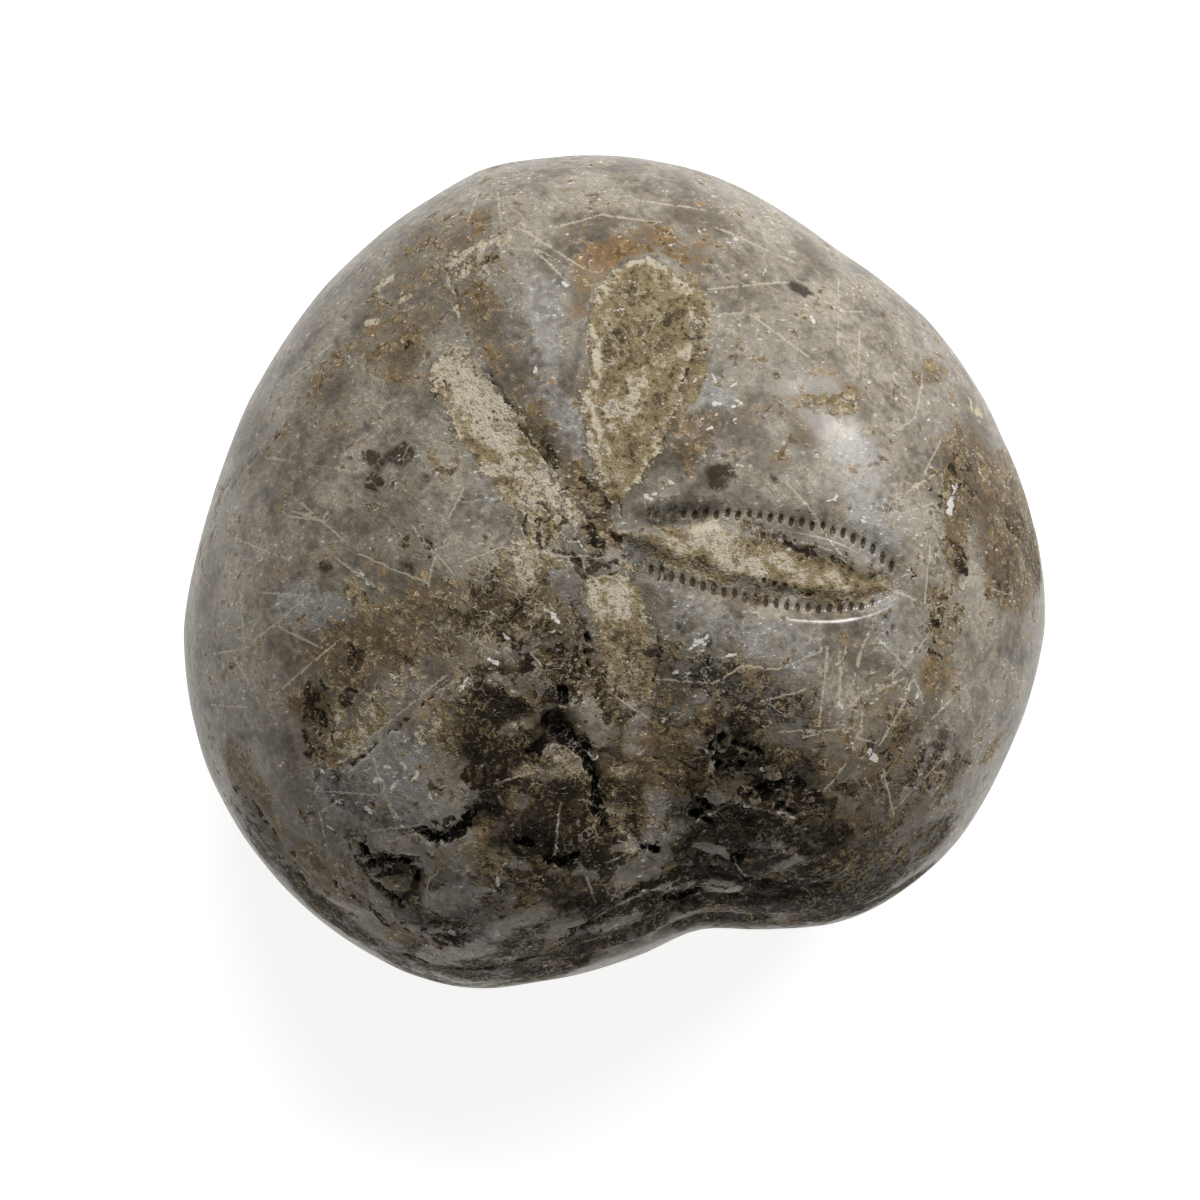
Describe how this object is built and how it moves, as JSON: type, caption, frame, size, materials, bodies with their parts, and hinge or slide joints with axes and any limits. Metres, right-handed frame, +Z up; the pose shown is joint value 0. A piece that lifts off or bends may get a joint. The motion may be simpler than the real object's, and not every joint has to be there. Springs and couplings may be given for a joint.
{
  "type": "fossil sea urchin",
  "caption": "Polished fossil heart urchin in grey calcite, with a star of sediment-filled petals on top, a notch at the front and a flat sole.",
  "frame": {"origin": "middle of the bounding box's base, on the plane that the stone rests on", "axes": "+Z up through the star of petals, +Y from the notch at the front to the back end, +X to the stone's right-hand side seen from above with the notch nearest"},
  "size_m": [0.051, 0.0476, 0.0316],
  "materials": {
    "polished_stone": "polished grey calcite with brown stains, tan sediment in the petals and dull broken ground at the front"
  },
  "bodies": {
    "root": {"urchin_test": "polished_stone"}
  },
  "joints": []
}
